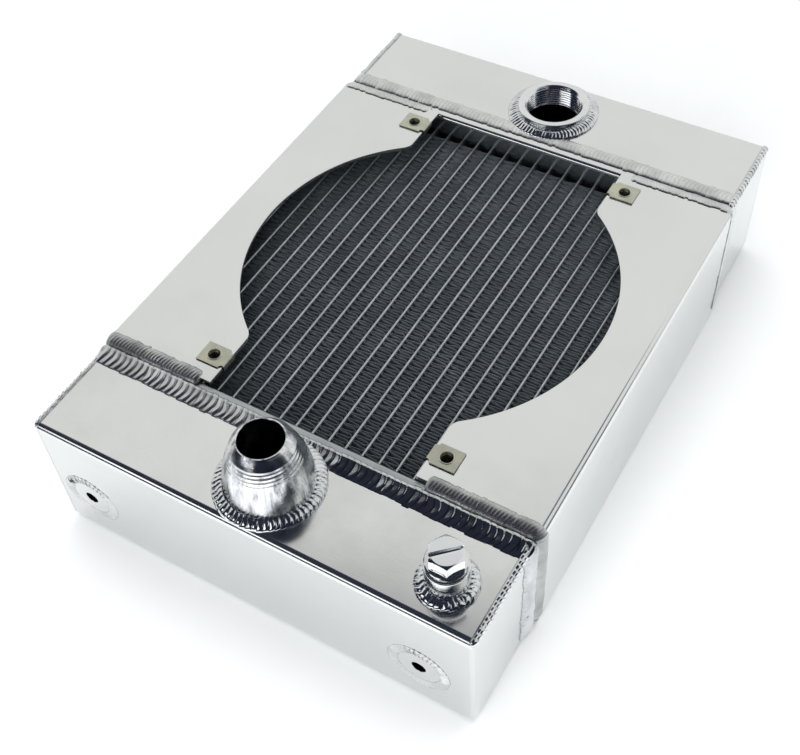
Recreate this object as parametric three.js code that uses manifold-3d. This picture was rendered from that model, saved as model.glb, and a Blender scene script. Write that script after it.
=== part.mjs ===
// A compact cross-flow car radiator, lying on its back with the fan side up.
// Millimetres. +Z is up, +Y runs along the coolant tubes, and +X runs across the core.
// The origin is at the middle of the footprint, on the surface that the radiator rests on.
// The outlet end is at -Y and the inlet end at +Y.

import * as THREE from 'three';
import { mergeVertices } from 'three/addons/utils/BufferGeometryUtils.js';
import Module from 'manifold-3d';

const wasm = await Module();
wasm.setup();

// ---- driving dimensions -------------------------------------------------------------------

const GAP = 0.3; // space left between pieces that touch
const LENGTH = 396; // over both tanks
const TANK_WIDTH = 272;
const TANK_HEIGHT = 88;
const TANK_SHEET = 3;
const TANK_BEND = 4; // outer radius of the folded tank edges
const SEAM = 58; // from a tank's end face to its seam with the header
const HEADER_EDGE = 69; // from a tank's end face to the header's face on the core side

const SHROUD_SHEET = 2.5;
const SHROUD_BEND = 4.5;
const SHROUD_LIP = 25; // width of the narrow flange underneath
const FAN_RADIUS = 111.3;
const NECK = 65.3; // half the width of the opening beside the headers
const NECK_FILLET = 9; // rounds the corner where the neck meets the fan circle

const TUBES = 24;
const TUBE_PITCH = 10.7;
const TUBE_THICK = 2;
const TUBE_WALL = 0.35;
const TUBE_REACH = 4; // how far a tube passes the header's core-side face
const CORE_RECESS = 15; // from the tank's top down to the core's top face
const SIDE_PLATE = 1.5;

const FITTING_INSET = 31; // outlet and inlet centres, from their tank's end face
const OUTLET_BORE = 11.8;
const OUTLET_BASE = 24.5;
const OUTLET_THREAD = 16.6;
const OUTLET_TOP = 38;
const INLET_RIM = 23.2;
const INLET_MOUTH = 18.9;
const INLET_BORE = 16.4;
const INLET_SPIGOT = 19.2;
const INLET_TOP = 6.4;

const DRAIN_X = 108.7;
const DRAIN_INSET = 24.3;
const DRAIN_BOSS = 11.4;
const DRAIN_SPIGOT = 10;
const DRAIN_BORE = 7;
const DRAIN_TOP = 16.4;
const PLUG_SHANK = 6.7;
const PLUG_REACH = 14; // length of the threaded shank under the plug's flange
const PLUG_FLANGE = 11;
const PLUG_FLANGE_THICK = 2;
const PLUG_ACROSS_FLATS = 17;
const PLUG_HEAD = 8;
const SEAL_THICK = 1.5;

const BUNG_RADIUS = 12.5;
const BUNG_DEPTH = 20;
const BUNG_HOLE = 4; // an M8 thread's radius
const BUNG_HOLE_DEPTH = 15;
const BUNG_Z = 37;
const BUNG_X = [-111, 104]; // left and right of the outlet end

const NUT_X = 74.4;
const NUT_Y = 112.4;
const NUT_LENGTH = 18;
const NUT_WIDTH = 14;
const NUT_SHEET = 0.8;
const NUT_HOLE = 3.2;
const NUT_BARREL = 4.8;

const BEAD_HEIGHT = 2;
const SEAM_BEAD = 9; // width of the tank seam beads
const FITTING_BEAD = 5.5; // width of the ring beads round the fittings

// ---- derived heights and places -----------------------------------------------------------

const HALF = LENGTH / 2;
const HALF_WIDTH = TANK_WIDTH / 2;
const TANK_BOTTOM = SHROUD_SHEET + GAP;
const TANK_TOP = TANK_BOTTOM + TANK_HEIGHT;
const SHROUD_TOP = TANK_TOP + GAP + SHROUD_SHEET;
const SHROUD_INNER = HALF_WIDTH + GAP;
const SHROUD_OUTER = SHROUD_INNER + SHROUD_SHEET;
const MIDDLE_Z = TANK_BOTTOM + TANK_HEIGHT / 2;
const SEAM_Y = HALF - SEAM;
const CORE_Y = HALF - HEADER_EDGE;
const CORE_TOP = TANK_TOP - CORE_RECESS;
const CORE_BOTTOM = TANK_BOTTOM + CORE_RECESS;
const TUBE_DEPTH = CORE_TOP - CORE_BOTTOM;
const FITTING_Y = HALF - FITTING_INSET;
const DRAIN_Y = DRAIN_INSET - HALF;
const SEAT = TANK_TOP + GAP; // where the fittings stand

// ---- materials ----------------------------------------------------------------------------

const metal = (color, roughness, metalness = 1) =>
  new THREE.MeshStandardMaterial({ color, roughness, metalness });

const polished = metal(0xcdd0cb, 0.12);
const machined = metal(0xd3d5d6, 0.2);
const weld = metal(0xa9acae, 0.35);
const tubeMetal = metal(0xaab0b5, 0.4);
const finMetal = metal(0x414a52, 0.5);
const zinc = metal(0xb9b796, 0.35);
const rubber = metal(0x2a2c2e, 0.6, 0);

// ---- helpers ------------------------------------------------------------------------------

function solid(geometry) {
  const bare = geometry.index ? geometry.clone() : geometry;
  bare.deleteAttribute('normal');
  bare.deleteAttribute('uv');
  const merged = mergeVertices(bare);
  return new wasm.Manifold(new wasm.Mesh({
    numProp: 3,
    vertProperties: new Float32Array(merged.attributes.position.array),
    triVerts: new Uint32Array(merged.index.array),
  }));
}

function toGeometry(manifold) {
  const mesh = manifold.getMesh();
  const geometry = new THREE.BufferGeometry();
  geometry.setAttribute('position', new THREE.BufferAttribute(mesh.vertProperties, 3));
  geometry.setIndex(new THREE.BufferAttribute(mesh.triVerts, 1));
  return geometry;
}

function piece(name, manifold, material) {
  const mesh = new THREE.Mesh(toGeometry(manifold), material);
  mesh.name = name;
  return mesh;
}

function block(x0, x1, y0, y1, z0, z1) {
  const box = new THREE.BoxGeometry(x1 - x0, y1 - y0, z1 - z0);
  return solid(box.translate((x0 + x1) / 2, (y0 + y1) / 2, (z0 + z1) / 2));
}

// Extrudes an outline along one axis, starting at the given place on it.
// The outline's two numbers are (y, z) along x, (x, z) along y and (x, y) along z.
function extrude(shape, axis, start, depth, curveSegments = 3) {
  const geometry = new THREE.ExtrudeGeometry(shape, {
    depth, bevelEnabled: false, steps: 1, curveSegments,
  });
  if (axis === 'x') {
    geometry.applyMatrix4(new THREE.Matrix4().makeBasis(
      new THREE.Vector3(0, 1, 0), new THREE.Vector3(0, 0, 1), new THREE.Vector3(1, 0, 0)));
    geometry.translate(start, 0, 0);
  }
  if (axis === 'y') {
    geometry.rotateX(Math.PI / 2);
    geometry.translate(0, start + depth, 0);
  }
  if (axis === 'z') geometry.translate(0, 0, start);
  return solid(geometry);
}

// Turns a closed (radius, height) profile, listed anticlockwise, about a vertical axis.
function turn(profile, x, y, z, segments = 28) {
  const points = [...profile, profile[0]].map(([r, h]) => new THREE.Vector2(r, h));
  const geometry = new THREE.LatheGeometry(points, segments);
  return solid(geometry.rotateX(Math.PI / 2).translate(x, y, z));
}

function rod(radius, x, y, z0, z1, segments = 28) {
  const geometry = new THREE.CylinderGeometry(radius, radius, z1 - z0, segments);
  return solid(geometry.rotateX(Math.PI / 2).translate(x, y, (z0 + z1) / 2));
}

function rodAlongY(radius, x, z, y0, y1, segments = 24) {
  const geometry = new THREE.CylinderGeometry(radius, radius, y1 - y0, segments);
  return solid(geometry.translate(x, (y0 + y1) / 2, z));
}

function polygon(points) {
  return new THREE.Shape(points.map(([a, b]) => new THREE.Vector2(a, b)));
}

// A rectangle round (0, middle) with rounded corners, as a shape or as a hole in one.
function roundedRectangle(halfWidth, halfHeight, radius, middleX, middleY, path) {
  const x0 = middleX - halfWidth;
  const x1 = middleX + halfWidth;
  const y0 = middleY - halfHeight;
  const y1 = middleY + halfHeight;
  const right = Math.PI / 2;
  path.moveTo(x1, y0 + radius);
  path.lineTo(x1, y1 - radius);
  path.absarc(x1 - radius, y1 - radius, radius, 0, right);
  path.lineTo(x0 + radius, y1);
  path.absarc(x0 + radius, y1 - radius, radius, right, 2 * right);
  path.lineTo(x0, y0 + radius);
  path.absarc(x0 + radius, y0 + radius, radius, 2 * right, 3 * right);
  path.lineTo(x1 - radius, y0);
  path.absarc(x1 - radius, y0 + radius, radius, 3 * right, 4 * right);
  path.closePath();
  return path;
}

// ---- tanks --------------------------------------------------------------------------------

// The sheet folded over the end and both broad faces, for the outlet end at -Y.
function tankFold() {
  const outer = TANK_BEND;
  const inner = TANK_BEND - TANK_SHEET;
  const y0 = -HALF;
  const y1 = -SEAM_Y - GAP / 2;
  const shape = new THREE.Shape();
  shape.moveTo(y1, TANK_BOTTOM);
  shape.lineTo(y1, TANK_BOTTOM + TANK_SHEET);
  shape.lineTo(y0 + outer, TANK_BOTTOM + TANK_SHEET);
  shape.absarc(y0 + outer, TANK_BOTTOM + outer, inner, -Math.PI / 2, -Math.PI, true);
  shape.lineTo(y0 + TANK_SHEET, TANK_TOP - outer);
  shape.absarc(y0 + outer, TANK_TOP - outer, inner, Math.PI, Math.PI / 2, true);
  shape.lineTo(y1, TANK_TOP - TANK_SHEET);
  shape.lineTo(y1, TANK_TOP);
  shape.lineTo(y0 + outer, TANK_TOP);
  shape.absarc(y0 + outer, TANK_TOP - outer, outer, Math.PI / 2, Math.PI);
  shape.lineTo(y0, TANK_BOTTOM + outer);
  shape.absarc(y0 + outer, TANK_BOTTOM + outer, outer, Math.PI, 1.5 * Math.PI);
  shape.closePath();
  const half = HALF_WIDTH - TANK_SHEET - GAP;
  return extrude(shape, 'x', -half, 2 * half);
}

function bungHoles(shell, xs, y0, y1) {
  let cut = shell;
  for (const x of xs) cut = cut.subtract(rodAlongY(BUNG_RADIUS + GAP, x, BUNG_Z, y0, y1));
  return cut;
}

function nearTankShell() {
  const z0 = TANK_TOP - 2 * TANK_SHEET;
  const z1 = TANK_TOP + 1;
  const outlet = rod(OUTLET_BORE + GAP, 0, -FITTING_Y, z0, z1);
  const drain = rod(DRAIN_SPIGOT + GAP, DRAIN_X, DRAIN_Y, z0, z1);
  const shell = tankFold().subtract(outlet).subtract(drain);
  return bungHoles(shell, BUNG_X, -HALF - 1, -HALF + 2 * TANK_SHEET);
}

function farTankShell() {
  const inlet = rod(INLET_SPIGOT + GAP, 0, FITTING_Y, TANK_TOP - 2 * TANK_SHEET, TANK_TOP + 1);
  const shell = tankFold().rotate([0, 0, 180]).subtract(inlet);
  return bungHoles(shell, BUNG_X.map((x) => -x), HALF - 2 * TANK_SHEET, HALF + 1);
}

// The flat plate that closes one side of a tank: end is -1 or 1 along Y, side -1 or 1 along X.
function tankEnd(end, side) {
  const y0 = end * (SEAM_Y + GAP / 2);
  const y1 = end * HALF;
  const corner = end * TANK_BEND;
  const up = Math.PI / 2;
  const shape = new THREE.Shape();
  shape.moveTo(y0, TANK_BOTTOM);
  shape.lineTo(y0, TANK_TOP);
  shape.lineTo(y1 - corner, TANK_TOP);
  shape.absarc(y1 - corner, TANK_TOP - TANK_BEND, TANK_BEND, up, end < 0 ? 2 * up : 0, end > 0);
  shape.lineTo(y1, TANK_BOTTOM + TANK_BEND);
  shape.absarc(y1 - corner, TANK_BOTTOM + TANK_BEND, TANK_BEND,
    end < 0 ? 2 * up : 0, end < 0 ? 3 * up : -up, end > 0);
  shape.closePath();
  const x = HALF_WIDTH - TANK_SHEET;
  return extrude(shape, 'x', side < 0 ? -HALF_WIDTH : x, TANK_SHEET);
}

// The tube plate: a shallow pan with one slot per tube, its rim turned towards the tank.
function header(end) {
  const corner = 3;
  const outline = () => roundedRectangle(
    HALF_WIDTH, TANK_HEIGHT / 2, corner, 0, MIDDLE_Z, new THREE.Shape());
  const face = outline();
  for (let i = 0; i < TUBES; i += 1) {
    face.holes.push(roundedRectangle(TUBE_THICK / 2 + GAP, TUBE_DEPTH / 2 + GAP,
      TUBE_THICK / 2, tubeX(i), MIDDLE_Z, new THREE.Path()));
  }
  const rim = outline();
  rim.holes.push(roundedRectangle(HALF_WIDTH - TANK_SHEET, TANK_HEIGHT / 2 - TANK_SHEET,
    1, 0, MIDDLE_Z, new THREE.Path()));
  const rimDepth = CORE_Y + TANK_SHEET / 2;
  const deep = SEAM_Y - GAP / 2 - rimDepth;
  const faceY = end < 0 ? -CORE_Y - TANK_SHEET : CORE_Y;
  const rimY = end < 0 ? -rimDepth - deep : rimDepth;
  return extrude(face, 'y', faceY, TANK_SHEET, 1).add(extrude(rim, 'y', rimY, deep, 2));
}

// ---- core ---------------------------------------------------------------------------------

function tubeX(i) {
  return (i - (TUBES - 1) / 2) * TUBE_PITCH;
}

function tube(i) {
  const shape = roundedRectangle(TUBE_THICK / 2, TUBE_DEPTH / 2, TUBE_THICK / 2 - 0.01,
    tubeX(i), MIDDLE_Z, new THREE.Shape());
  const inner = TUBE_THICK / 2 - TUBE_WALL;
  shape.holes.push(roundedRectangle(inner, TUBE_DEPTH / 2 - TUBE_WALL, inner - 0.01,
    tubeX(i), MIDDLE_Z, new THREE.Path()));
  const half = CORE_Y + TUBE_REACH;
  return extrude(shape, 'y', -half, 2 * half, 1);
}

// The corrugated strips between the tubes, as plain blocks held by two thin straps underneath.
function finPack() {
  const half = CORE_Y - 1;
  const strapWidth = 6;
  const strapThick = 0.8;
  const space = TUBE_PITCH / 2 - TUBE_THICK / 2 - GAP;
  const z0 = CORE_BOTTOM - GAP;
  let pack = null;
  for (let i = 0; i <= TUBES; i += 1) {
    const x = tubeX(i - 0.5);
    const strip = block(x - space, x + space, -half, half, z0, CORE_TOP);
    pack = pack ? pack.add(strip) : strip;
  }
  const reach = tubeX(TUBES - 0.5) + space;
  for (const y of [-half, half - strapWidth]) {
    pack = pack.add(block(-reach, reach, y, y + strapWidth, z0 - strapThick, z0 + 0.1));
  }
  return pack;
}

function coreSidePlate(side) {
  const x0 = tubeX(TUBES - 0.5) + TUBE_PITCH / 2 - TUBE_THICK / 2;
  const x1 = x0 + SIDE_PLATE;
  const half = CORE_Y - GAP;
  return block(side < 0 ? -x1 : x0, side < 0 ? -x0 : x1, -half, half, CORE_BOTTOM, CORE_TOP);
}

// ---- shroud -------------------------------------------------------------------------------

// The hole for the fan: a circle with a straight-sided neck running out to each header.
function fanOpening() {
  const r = NECK_FILLET;
  const fx = NECK + r;
  const fy = Math.sqrt((FAN_RADIUS + r) ** 2 - fx ** 2);
  const turnTo = Math.atan2(fy, fx);
  const out = CORE_Y + 5;
  const shape = new THREE.Shape();
  shape.moveTo(NECK, -out);
  shape.lineTo(NECK, -fy);
  shape.absarc(fx, -fy, r, Math.PI, Math.PI - turnTo, true);
  shape.absarc(0, 0, FAN_RADIUS, -turnTo, turnTo);
  shape.absarc(fx, fy, r, Math.PI + turnTo, Math.PI, true);
  shape.lineTo(NECK, out);
  shape.lineTo(-NECK, out);
  shape.lineTo(-NECK, fy);
  shape.absarc(-fx, fy, r, 0, -turnTo, true);
  shape.absarc(0, 0, FAN_RADIUS, Math.PI - turnTo, Math.PI + turnTo);
  shape.absarc(-fx, -fy, r, turnTo, 0, true);
  shape.lineTo(-NECK, -out);
  shape.closePath();
  return extrude(shape, 'z', SHROUD_TOP - 10, 20, 9);
}

// A channel along one side: broad flange on top, side wall, and a narrow lip underneath.
function shroud(side) {
  const t = SHROUD_SHEET;
  const r = SHROUD_BEND;
  const x1 = SHROUD_OUTER;
  const lip = SHROUD_OUTER - SHROUD_LIP;
  const quarter = Math.PI / 2;
  const shape = new THREE.Shape();
  shape.moveTo(lip, 0);
  shape.lineTo(x1 - r, 0);
  shape.absarc(x1 - r, r, r, -quarter, 0);
  shape.lineTo(x1, SHROUD_TOP - r);
  shape.absarc(x1 - r, SHROUD_TOP - r, r, 0, quarter);
  shape.lineTo(NECK, SHROUD_TOP);
  shape.lineTo(NECK, SHROUD_TOP - t);
  shape.lineTo(x1 - r, SHROUD_TOP - t);
  shape.absarc(x1 - r, SHROUD_TOP - r, r - t, quarter, 0, true);
  shape.lineTo(x1 - t, r);
  shape.absarc(x1 - r, r, r - t, 0, -quarter, true);
  shape.lineTo(lip, t);
  shape.closePath();
  const half = CORE_Y + GAP / 2;
  let sheet = extrude(shape, 'y', -half, 2 * half).subtract(fanOpening());
  for (const y of [-NUT_Y, NUT_Y]) {
    sheet = sheet.subtract(rod(NUT_HOLE + 1.5, NUT_X, y, SHROUD_TOP - 10, SHROUD_TOP + 5, 16));
  }
  return side < 0 ? sheet.rotate([0, 0, 180]) : sheet;
}

// A spring clip folded over the neck's edge, with a threaded barrel under the flange.
function clipNut(sideX, sideY) {
  const edge = NECK - GAP;
  const top = SHROUD_TOP + GAP;
  const bottom = SHROUD_TOP - SHROUD_SHEET - GAP;
  const t = NUT_SHEET;
  const reach = edge - t + NUT_LENGTH;
  const shape = polygon([
    [edge - t, bottom - t], [reach, bottom - t], [reach, bottom], [edge, bottom],
    [edge, top], [reach, top], [reach, top + t], [edge - t, top + t],
  ]);
  const clip = extrude(shape, 'y', -NUT_WIDTH / 2, NUT_WIDTH);
  const barrel = rod(NUT_BARREL, NUT_X, 0, bottom - t - 5, bottom - t / 2, 16);
  const hole = rod(NUT_HOLE, NUT_X, 0, SHROUD_TOP - 20, SHROUD_TOP + 10, 16);
  const nut = clip.add(barrel).subtract(hole);
  return (sideX < 0 ? nut.rotate([0, 0, 180]) : nut).translate([0, sideY * NUT_Y, 0]);
}

// ---- fittings -----------------------------------------------------------------------------

function outletFitting() {
  const lip = OUTLET_BORE + 1.1;
  return turn([
    [OUTLET_BORE, 0], [OUTLET_BASE, 0], [OUTLET_BASE, 13], [23.6, 15.6], [21, 18.4],
    [17.6, 20.6], [OUTLET_THREAD, 21.6], [OUTLET_THREAD, 33.1], [lip, OUTLET_TOP],
    [OUTLET_BORE, OUTLET_TOP],
  ], 0, -FITTING_Y, SEAT);
}

function inletBung() {
  const inside = -9;
  return turn([
    [INLET_BORE, inside], [INLET_SPIGOT, inside], [INLET_SPIGOT, 0], [INLET_RIM, 0],
    [INLET_RIM, INLET_TOP], [INLET_MOUTH, INLET_TOP], [18, INLET_TOP - 1.3],
    [17.4, 0.4], [INLET_BORE, -0.6],
  ], 0, FITTING_Y, SEAT);
}

function drainBung() {
  const inside = -6;
  return turn([
    [DRAIN_BORE, inside], [DRAIN_SPIGOT, inside], [DRAIN_SPIGOT, 0], [DRAIN_BOSS, 0],
    [DRAIN_BOSS, DRAIN_TOP], [DRAIN_BORE, DRAIN_TOP],
  ], DRAIN_X, DRAIN_Y, SEAT, 24);
}

const SEAL_Z = SEAT + DRAIN_TOP + GAP;
const PLUG_Z = SEAL_Z + SEAL_THICK + GAP;

function drainSeal() {
  return turn([
    [PLUG_SHANK + GAP, 0], [PLUG_FLANGE, 0], [PLUG_FLANGE, SEAL_THICK],
    [PLUG_SHANK + GAP, SEAL_THICK],
  ], DRAIN_X, DRAIN_Y, SEAL_Z, 24);
}

function drainPlug() {
  const slotWidth = 2;
  const slotDepth = 1.8;
  const slotAngle = 20;
  const corner = PLUG_ACROSS_FLATS / Math.sqrt(3);
  const flangeTop = PLUG_Z + PLUG_FLANGE_THICK;
  const headTop = flangeTop + PLUG_HEAD;
  const shank = rod(PLUG_SHANK, 0, 0, PLUG_Z - PLUG_REACH, PLUG_Z + 1, 24);
  const flange = rod(PLUG_FLANGE, 0, 0, PLUG_Z, flangeTop, 24);
  const head = rod(corner, 0, 0, flangeTop - 1, headTop, 6);
  const slot = block(-20, 20, -slotWidth / 2, slotWidth / 2, headTop - slotDepth, headTop + 1)
    .rotate([0, 0, slotAngle]);
  return shank.add(flange).add(head).subtract(slot).translate([DRAIN_X, DRAIN_Y, 0]);
}

// A blind threaded insert flush with the tank's end face.
function mountInsert(x, end) {
  const near = Math.min(end * HALF, end * (HALF - BUNG_DEPTH));
  const body = rodAlongY(BUNG_RADIUS, x, BUNG_Z, near, near + BUNG_DEPTH);
  const mouth = end * (HALF + 1);
  const bottom = end * (HALF - BUNG_HOLE_DEPTH);
  const hole = rodAlongY(BUNG_HOLE, x, BUNG_Z, Math.min(mouth, bottom), Math.max(mouth, bottom), 16);
  return body.subtract(hole);
}

// ---- weld beads ---------------------------------------------------------------------------

function fittingBead(radius, x, y, height) {
  const inner = radius + GAP;
  const outer = inner + FITTING_BEAD;
  return turn([
    [inner, 0], [outer, 0], [outer - 0.8, height * 0.55], [inner + 2.4, height],
    [inner, height],
  ], x, y, SEAT);
}

// Runs right round the joint between a tank and its header.
function seamBead(end) {
  const inner = GAP;
  const outer = GAP + BEAD_HEIGHT;
  const ring = roundedRectangle(
    HALF_WIDTH + outer, TANK_HEIGHT / 2 + outer, 4, 0, MIDDLE_Z, new THREE.Shape());
  ring.holes.push(roundedRectangle(
    HALF_WIDTH + inner, TANK_HEIGHT / 2 + inner, 0.5, 0, MIDDLE_Z, new THREE.Path()));
  const y0 = end * SEAM_Y - SEAM_BEAD / 2;
  const clear = OUTLET_BASE + FITTING_BEAD + 2 * GAP;
  return extrude(ring, 'y', y0, SEAM_BEAD)
    .subtract(rod(clear, 0, end * FITTING_Y, TANK_TOP - 10, TANK_TOP + 10));
}

// Joins a shroud's end to the header rim: across the top from the neck and down the side.
function shroudBead(side, end) {
  const foot = 4.6;
  const step = CORE_Y + GAP / 2;
  const section = (low, high) => polygon([
    [-step - foot, low], [-step - GAP, low], [-step - GAP, high], [-step + foot, high],
    [-step + 2.5, high + 0.7], [-step - 1.5, high + 1], [-step - 3.6, high - 0.4],
  ]);
  const start = NECK + 6;
  const outside = SHROUD_OUTER + GAP + 0.7;
  const across = extrude(section(SEAT, SHROUD_TOP + GAP), 'x', start, outside - start);
  const down = extrude(section(HALF_WIDTH + GAP, SHROUD_OUTER + GAP), 'x', 0, SHROUD_TOP - 5);
  // The second bar is made lying along X with its section in (y, z), then stood on end.
  const upright = down.rotate([0, -90, 0]).mirror([1, 0, 0]).translate([0, 0, 5]);
  let bead = across.add(upright);
  if (side < 0) bead = bead.mirror([1, 0, 0]);
  if (end > 0) bead = bead.mirror([0, 1, 0]);
  return bead;
}

// ---- assembly -----------------------------------------------------------------------------

const radiator = new THREE.Group();
const ends = [['near', -1], ['far', 1]];
const sides = [['left', -1], ['right', 1]];

radiator.add(piece('near_tank_shell', nearTankShell(), polished));
radiator.add(piece('far_tank_shell', farTankShell(), polished));
for (const [endName, end] of ends) {
  radiator.add(piece(`${endName}_header`, header(end), polished));
  radiator.add(piece(`${endName}_seam_bead`, seamBead(end), weld));
  for (const [sideName, side] of sides) {
    const place = `${endName}_${sideName}`;
    radiator.add(piece(`${place}_tank_end`, tankEnd(end, side), polished));
    radiator.add(piece(`${place}_shroud_bead`, shroudBead(side, end), weld));
    radiator.add(piece(`${place}_clip_nut`, clipNut(side, end), zinc));
    const x = end < 0 ? BUNG_X[side < 0 ? 0 : 1] : -BUNG_X[side < 0 ? 1 : 0];
    radiator.add(piece(`${place}_mount_insert`, mountInsert(x, end), machined));
  }
}
for (let i = 0; i < TUBES; i += 1) {
  radiator.add(piece(`tube_${String(i + 1).padStart(2, '0')}`, tube(i), tubeMetal));
}
radiator.add(piece('fin_pack', finPack(), finMetal));
for (const [sideName, side] of sides) {
  radiator.add(piece(`${sideName}_core_side_plate`, coreSidePlate(side), tubeMetal));
  radiator.add(piece(`${sideName}_shroud`, shroud(side), polished));
}
radiator.add(piece('outlet_fitting', outletFitting(), machined));
radiator.add(piece('outlet_bead', fittingBead(OUTLET_BASE, 0, -FITTING_Y, 4.5), weld));
radiator.add(piece('inlet_bung', inletBung(), machined));
radiator.add(piece('inlet_bead', fittingBead(INLET_RIM, 0, FITTING_Y, 3.6), weld));
radiator.add(piece('drain_bung', drainBung(), machined));
radiator.add(piece('drain_bead', fittingBead(DRAIN_BOSS, DRAIN_X, DRAIN_Y, 4), weld));
radiator.add(piece('drain_seal', drainSeal(), rubber));
radiator.add(piece('drain_plug', drainPlug(), machined));

export default radiator;
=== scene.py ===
"""A polished aluminium car radiator, lying flat with its fan side up.

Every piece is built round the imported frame, in its axes. Lengths are worked out in millimetres and
become metres when a mesh is made. +Y runs along the tubes, from the outlet tank to the inlet tank.
"""

import math
import random

import bmesh
import bpy
import numpy as np
from mathutils import Matrix, Vector


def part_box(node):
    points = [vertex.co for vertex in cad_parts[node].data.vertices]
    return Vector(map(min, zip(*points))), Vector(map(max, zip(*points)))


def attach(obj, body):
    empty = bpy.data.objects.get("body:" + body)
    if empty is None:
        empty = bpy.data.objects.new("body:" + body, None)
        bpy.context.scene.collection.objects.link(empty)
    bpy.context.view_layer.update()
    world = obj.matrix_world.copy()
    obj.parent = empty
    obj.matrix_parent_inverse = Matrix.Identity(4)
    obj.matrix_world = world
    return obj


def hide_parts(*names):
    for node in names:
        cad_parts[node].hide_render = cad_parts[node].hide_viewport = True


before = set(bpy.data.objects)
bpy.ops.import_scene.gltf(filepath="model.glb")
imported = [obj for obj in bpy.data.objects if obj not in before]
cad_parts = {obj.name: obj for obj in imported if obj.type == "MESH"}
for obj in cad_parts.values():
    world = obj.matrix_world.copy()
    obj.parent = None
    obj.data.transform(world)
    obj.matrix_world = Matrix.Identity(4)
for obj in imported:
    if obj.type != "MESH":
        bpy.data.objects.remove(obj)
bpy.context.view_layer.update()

MM = 0.001
BODY = "radiator"
ENDS = (("near", -1), ("far", 1))
SIDES = (("left", -1), ("right", 1))
TAU = 2 * math.pi
QUARTER = math.pi / 2


# ---- places read from the frame ----------------------------------------------------------

def box_mm(node):
    """Lowest and highest corner of a CAD node, in millimetres."""
    low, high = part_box(node)
    return np.array(low) / MM, np.array(high) / MM


header_low, header_high = box_mm("near_header")
shroud_low, shroud_high = box_mm("right_shroud")
fin_low, fin_high = box_mm("fin_pack")
tube_low, tube_high = box_mm("tube_01")
nut_low, nut_high = box_mm("far_right_clip_nut")
outlet_low, outlet_high = box_mm("outlet_fitting")
inlet_low, inlet_high = box_mm("inlet_bung")
bung_low, bung_high = box_mm("drain_bung")
seal_low, seal_high = box_mm("drain_seal")
plug_low, plug_high = box_mm("drain_plug")

NUT_HOLE_INSET = 7.8
HALF = -box_mm("near_tank_shell")[0][1]
HALF_WIDTH = header_high[0]
TANK_BOTTOM = header_low[2]
TANK_TOP = header_high[2]
TANK_HALF = (TANK_TOP - TANK_BOTTOM) / 2
MIDDLE_Z = (TANK_BOTTOM + TANK_TOP) / 2
SEAM_GAP = 0.15
SEAM_Y = -header_low[1] + SEAM_GAP
CORE_Y = -header_high[1]
CORE_TOP = tube_high[2]
CORE_BOTTOM = tube_low[2]
CORE_HALF = (CORE_TOP - CORE_BOTTOM) / 2
SHROUD_OUTER = shroud_high[0]
SHROUD_TOP = shroud_high[2]
SHROUD_END = shroud_high[1]
NECK = shroud_low[0]
NUT_X = nut_high[0] - NUT_HOLE_INSET
NUT_Y = (nut_low[1] + nut_high[1]) / 2
OUTLET = (outlet_low + outlet_high) / 2
INLET = (inlet_low + inlet_high) / 2
DRAIN = (bung_low + bung_high) / 2
SEAT = outlet_low[2]
TUBES = sum(1 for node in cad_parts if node.startswith("tube_"))
TUBE_X = [sum(box_mm(f"tube_{i + 1:02d}"))[0] / 2 for i in range(TUBES)]
PITCH = TUBE_X[1] - TUBE_X[0]

TANK_SHEET = 3.0
TANK_BEND = 4.0
SHROUD_SHEET = 2.5
SHROUD_BEND = 4.5
SHROUD_LIP = 25.0
FAN_RADIUS = 111.3
NECK_FILLET = 9.0
HEADER_BEND = 2.6
FIN_SPACING = 2.0
TUBE_HALF = 0.78
BEVEL_SEGMENTS = 2
LATHE_SEGMENTS = 96
FINE_SEGMENTS = 144
THREAD_STEP = 0.18
LOOP_CORNER = 3.0


# ---- materials ---------------------------------------------------------------------------

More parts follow.
